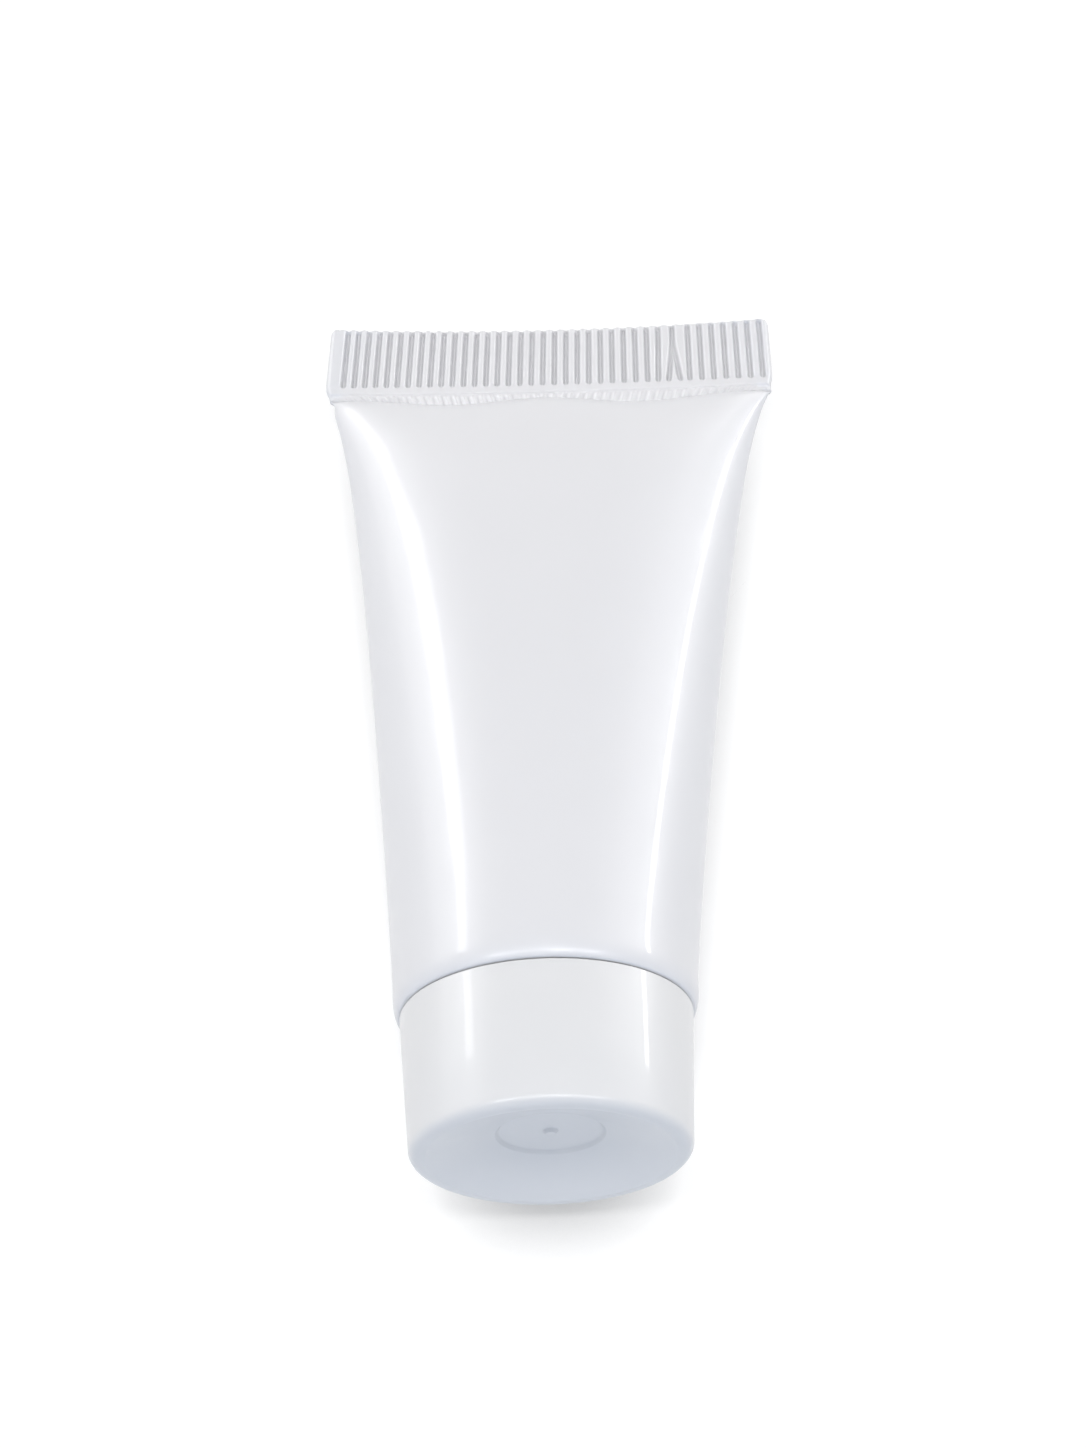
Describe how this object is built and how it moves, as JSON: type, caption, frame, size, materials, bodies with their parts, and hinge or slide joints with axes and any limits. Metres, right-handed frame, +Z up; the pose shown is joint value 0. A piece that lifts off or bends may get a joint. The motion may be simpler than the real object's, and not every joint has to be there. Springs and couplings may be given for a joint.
{
  "type": "cosmetic squeeze tube",
  "caption": "Plump plastic squeeze tube with a flat ribbed crimped tail, a moulded neck with a small outlet and a smooth flat-ended screw cap; it lies on its back.",
  "frame": {"origin": "on the ground, under the middle of the whole tube's box as it lies on its back", "axes": "+Z up, +Y towards the crimped tail, -Y towards the cap, +X to the right seen from the cap end; the tube's own axis lies in the YZ plane and dips towards the tail by 6.01 degrees"},
  "size_m": [0.0346, 0.0698, 0.0225],
  "materials": {
    "sleeve_plastic": "semi-gloss extruded polyethylene film, soft and slightly waxy, smooth",
    "head_plastic": "satin injection-moulded polyethylene",
    "cream_filling": "wet, soft, off-white cream",
    "foam_wad": "matt expanded polyethylene foam",
    "cap_plastic": "semi-gloss injection-moulded polypropylene, with a slightly duller dished end"
  },
  "bodies": {
    "tube": {"sleeve": "sleeve_plastic", "head": "head_plastic", "cream": "cream_filling"},
    "cap_seat": {"cap_liner": "foam_wad"},
    "cap": {"screw_cap": "cap_plastic"}
  },
  "joints": [
    {"name": "cap_lift", "type": "slide", "parent": "tube", "child": "cap_seat", "axis": [0, -0.9945, 0.1047], "range_m": [0, 0.005]},
    {"name": "cap_turn", "type": "hinge", "parent": "cap_seat", "child": "cap", "pos_m": [-0.00187, -0.02331, 0.01142], "axis": [0, -0.9945, 0.1047], "range_deg": [0, 720]}
  ],
  "couplings": [
    {"joint": "cap_lift", "follows": "cap_turn", "m_per_rad": 0.00039789}
  ]
}
